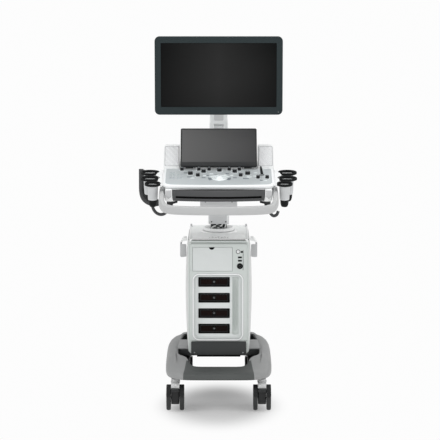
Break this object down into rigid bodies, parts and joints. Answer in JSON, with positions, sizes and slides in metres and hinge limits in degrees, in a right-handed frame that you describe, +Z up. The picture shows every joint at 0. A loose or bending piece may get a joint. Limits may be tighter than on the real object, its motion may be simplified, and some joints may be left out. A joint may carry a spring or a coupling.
{
  "type": "ultrasound machine",
  "caption": "Wheeled ultrasound cart with a lifting, swivelling console, tilting touch screen, keyboard drawer, probe holders, sockets and a monitor on a jointed arm.",
  "frame": {"origin": "floor point below the middle of the machine's bounding box", "axes": "+X to the right as seen from the operator's side, -Y towards the operator, +Z up; the machine stands on the plane z = 0"},
  "size_m": [0.6501, 0.7592, 1.512],
  "materials": {
    "white_plastic": "satin moulded plastic, fine grain",
    "panel_plastic": "satin moulded plastic, cool light grey",
    "grey_plastic": "satin moulded plastic, mid grey",
    "dark_plastic": "dark satin plastic",
    "cast_frame": "dark painted casting",
    "dark_metal": "black painted steel extrusion",
    "electronics": "closed card cage full of boards and power supplies, drawn as one block",
    "screen_glass": "dark switched-off display glass",
    "trackball_resin": "pale polished resin",
    "tyre_rubber": "dark grey polyurethane tread and hub"
  },
  "bodies": {
    "base": {"chassis_frame": "cast_frame", "base_cover": "grey_plastic", "foot_rest_plate": "dark_plastic", "tower_shell": "white_plastic", "front_panel": "panel_plastic", "rear_cover": "grey_plastic", "electronics_cage": "electronics", "probe_port_board": "panel_plastic", "top_tray": "white_plastic", "tower_hook_left": "grey_plastic", "tower_hook_right": "grey_plastic"},
    "door": {"media_door": "panel_plastic"},
    "power": {"power_button": "white_plastic"},
    "column": {"turntable": "white_plastic", "lift_mast": "dark_metal"},
    "console": {"column_sleeve": "grey_plastic", "console_base": "white_plastic", "console_deck": "panel_plastic", "handle": "white_plastic", "probe_holder_left": "white_plastic", "probe_holder_right": "white_plastic", "long_probe_holder": "dark_plastic", "cable_hook_left": "dark_plastic", "cable_hook_right": "dark_plastic"},
    "drawer": {"keyboard_drawer": "dark_plastic"},
    "touch_screen": {"touch_bezel": "dark_plastic", "touch_glass": "screen_glass"},
    "ball": {"trackball": "trackball_resin"},
    "lever": {"paddle_lever": "dark_plastic"},
    "arm_foot": {"arm_base": "grey_plastic"},
    "arm": {"arm_link": "white_plastic"},
    "arm_head_body": {"arm_head": "grey_plastic"},
    "yoke": {"monitor_yoke": "grey_plastic"},
    "monitor": {"monitor_back": "white_plastic", "monitor_bezel": "dark_plastic", "monitor_glass": "screen_glass"},
    "caster_front_left": {"caster_fork_front_left": "grey_plastic"},
    "wheels_front_left": {"caster_wheels_front_left": "tyre_rubber"},
    "caster_front_right": {"caster_fork_front_right": "grey_plastic"},
    "wheels_front_right": {"caster_wheels_front_right": "tyre_rubber"},
    "caster_rear_left": {"caster_fork_rear_left": "grey_plastic"},
    "wheels_rear_left": {"caster_wheels_rear_left": "tyre_rubber"},
    "caster_rear_right": {"caster_fork_rear_right": "grey_plastic"},
    "wheels_rear_right": {"caster_wheels_rear_right": "tyre_rubber"},
    "pedal_front_left": {"brake_pedal_front_left": "grey_plastic"},
    "pedal_front_right": {"brake_pedal_front_right": "grey_plastic"},
    "knob_body_01": {"knob_01": "dark_plastic"},
    "knob_body_02": {"knob_02": "dark_plastic"},
    "knob_body_03": {"knob_03": "dark_plastic"},
    "knob_body_04": {"knob_04": "dark_plastic"},
    "knob_body_05": {"knob_05": "dark_plastic"},
    "knob_body_06": {"knob_06": "dark_plastic"},
    "knob_body_07": {"knob_07": "dark_plastic"},
    "knob_body_08": {"knob_08": "dark_plastic"},
    "knob_body_09": {"knob_09": "dark_plastic"},
    "knob_body_10": {"knob_10": "dark_plastic"},
    "knob_body_11": {"knob_11": "dark_plastic"},
    "knob_body_12": {"knob_12": "dark_plastic"},
    "knob_body_13": {"knob_13": "dark_plastic"},
    "knob_body_14": {"knob_14": "dark_plastic"}
  },
  "joints": [
    {"name": "swivel_front_left", "type": "hinge", "parent": "base", "child": "caster_front_left", "pos_m": [-0.178, -0.202, 0.133], "axis": [0, 0, 1], "continuous": true},
    {"name": "roll_front_left", "type": "hinge", "parent": "caster_front_left", "child": "wheels_front_left", "pos_m": [-0.178, -0.22, 0.05], "axis": [1, 0, 0], "continuous": true},
    {"name": "swivel_front_right", "type": "hinge", "parent": "base", "child": "caster_front_right", "pos_m": [0.178, -0.202, 0.133], "axis": [0, 0, 1], "continuous": true},
    {"name": "roll_front_right", "type": "hinge", "parent": "caster_front_right", "child": "wheels_front_right", "pos_m": [0.178, -0.22, 0.05], "axis": [1, 0, 0], "continuous": true},
    {"name": "swivel_rear_left", "type": "hinge", "parent": "base", "child": "caster_rear_left", "pos_m": [-0.15, 0.285, 0.133], "axis": [0, 0, 1], "continuous": true},
    {"name": "roll_rear_left", "type": "hinge", "parent": "caster_rear_left", "child": "wheels_rear_left", "pos_m": [-0.15, 0.267, 0.05], "axis": [1, 0, 0], "continuous": true},
    {"name": "swivel_rear_right", "type": "hinge", "parent": "base", "child": "caster_rear_right", "pos_m": [0.15, 0.285, 0.133], "axis": [0, 0, 1], "continuous": true},
    {"name": "roll_rear_right", "type": "hinge", "parent": "caster_rear_right", "child": "wheels_rear_right", "pos_m": [0.15, 0.267, 0.05], "axis": [1, 0, 0], "continuous": true},
    {"name": "brake_front_left", "type": "hinge", "parent": "caster_front_left", "child": "pedal_front_left", "pos_m": [-0.178, -0.2465, 0.085], "axis": [1, 0, 0], "range_deg": [0, 18]},
    {"name": "brake_front_right", "type": "hinge", "parent": "caster_front_right", "child": "pedal_front_right", "pos_m": [0.178, -0.2465, 0.085], "axis": [1, 0, 0], "range_deg": [0, 18]},
    {"name": "door_hinge", "type": "hinge", "parent": "base", "child": "door", "pos_m": [0, -0.084, 0.5537], "axis": [1, 0, 0], "range_deg": [0, 90]},
    {"name": "power_press", "type": "slide", "parent": "base", "child": "power", "axis": [0, 1, 0], "range_m": [0, 0.002], "stiffness_N_per_m": 300},
    {"name": "console_swivel", "type": "hinge", "parent": "base", "child": "column", "pos_m": [0, 0.1475, 0.69], "axis": [0, 0, 1], "range_deg": [-35, 35]},
    {"name": "console_lift", "type": "slide", "parent": "column", "child": "console", "axis": [0, 0, 1], "range_m": [0, 0.2]},
    {"name": "drawer_slide", "type": "slide", "parent": "console", "child": "drawer", "axis": [0, -1, 0], "range_m": [0, 0.16]},
    {"name": "touch_tilt", "type": "hinge", "parent": "console", "child": "touch_screen", "pos_m": [0, -0.078, 0.99], "axis": [1, 0, 0], "range_deg": [-15, 20]},
    {"name": "ball_roll", "type": "hinge", "parent": "console", "child": "ball", "pos_m": [0.0032, -0.19897, 0.95118], "axis": [1, 0, 0], "continuous": true},
    {"name": "lever_tilt", "type": "hinge", "parent": "console", "child": "lever", "pos_m": [0.1759, -0.14991, 0.97152], "axis": [1, 0, 0], "range_deg": [-20, 20]},
    {"name": "arm_swivel", "type": "hinge", "parent": "console", "child": "arm_foot", "pos_m": [0, 0.1475, 1.0625], "axis": [0, 0, 1], "range_deg": [-40, 40]},
    {"name": "arm_pitch", "type": "hinge", "parent": "arm_foot", "child": "arm", "pos_m": [0, 0.18, 1.103], "axis": [1, 0, 0], "range_deg": [-16, 16]},
    {"name": "arm_level", "type": "hinge", "parent": "arm", "child": "arm_head_body", "pos_m": [0, 0.3, 1.313], "axis": [1, 0, 0], "range_deg": [-16, 16]},
    {"name": "monitor_swivel", "type": "hinge", "parent": "arm_head_body", "child": "yoke", "pos_m": [0, 0.168, 1.33], "axis": [0, 0, 1], "range_deg": [-40, 40]},
    {"name": "monitor_tilt", "type": "hinge", "parent": "yoke", "child": "monitor", "pos_m": [0, 0.128, 1.33], "axis": [1, 0, 0], "range_deg": [-15, 15]},
    {"name": "turn_01", "type": "hinge", "parent": "console", "child": "knob_body_01", "pos_m": [-0.1503, -0.08706, 0.97518], "axis": [0, -0.1547, 0.988], "continuous": true},
    {"name": "turn_02", "type": "hinge", "parent": "console", "child": "knob_body_02", "pos_m": [-0.0811, -0.08706, 0.97518], "axis": [0, -0.1547, 0.988], "continuous": true},
    {"name": "turn_03", "type": "hinge", "parent": "console", "child": "knob_body_03", "pos_m": [-0.0393, -0.08706, 0.97518], "axis": [0, -0.1547, 0.988], "continuous": true},
    {"name": "turn_04", "type": "hinge", "parent": "console", "child": "knob_body_04", "pos_m": [0.0029, -0.09736, 0.97357], "axis": [0, -0.1547, 0.988], "continuous": true},
    {"name": "turn_05", "type": "hinge", "parent": "console", "child": "knob_body_05", "pos_m": [0.0434, -0.08706, 0.97518], "axis": [0, -0.1547, 0.988], "continuous": true},
    {"name": "turn_06", "type": "hinge", "parent": "console", "child": "knob_body_06", "pos_m": [0.0848, -0.08706, 0.97518], "axis": [0, -0.1547, 0.988], "continuous": true},
    {"name": "turn_07", "type": "hinge", "parent": "console", "child": "knob_body_07", "pos_m": [-0.0616, -0.11376, 0.971], "axis": [0, -0.1547, 0.988], "continuous": true},
    {"name": "turn_08", "type": "hinge", "parent": "console", "child": "knob_body_08", "pos_m": [0.0653, -0.11376, 0.971], "axis": [0, -0.1547, 0.988], "continuous": true},
    {"name": "turn_09", "type": "hinge", "parent": "console", "child": "knob_body_09", "pos_m": [-0.1151, -0.14086, 0.96676], "axis": [0, -0.1547, 0.988], "continuous": true},
    {"name": "turn_10", "type": "hinge", "parent": "console", "child": "knob_body_10", "pos_m": [0.118, -0.14086, 0.96676], "axis": [0, -0.1547, 0.988], "continuous": true},
    {"name": "turn_11", "type": "hinge", "parent": "console", "child": "knob_body_11", "pos_m": [-0.0847, -0.16646, 0.96275], "axis": [0, -0.1547, 0.988], "continuous": true},
    {"name": "turn_12", "type": "hinge", "parent": "console", "child": "knob_body_12", "pos_m": [0.0892, -0.16646, 0.96275], "axis": [0, -0.1547, 0.988], "continuous": true},
    {"name": "turn_13", "type": "hinge", "parent": "console", "child": "knob_body_13", "pos_m": [0.1592, -0.19326, 0.95855], "axis": [0, -0.1547, 0.988], "continuous": true},
    {"name": "turn_14", "type": "hinge", "parent": "console", "child": "knob_body_14", "pos_m": [0.196, -0.19326, 0.95855], "axis": [0, -0.1547, 0.988], "continuous": true}
  ],
  "couplings": [
    {"joint": "arm_level", "follows": "arm_pitch", "ratio": -1}
  ]
}
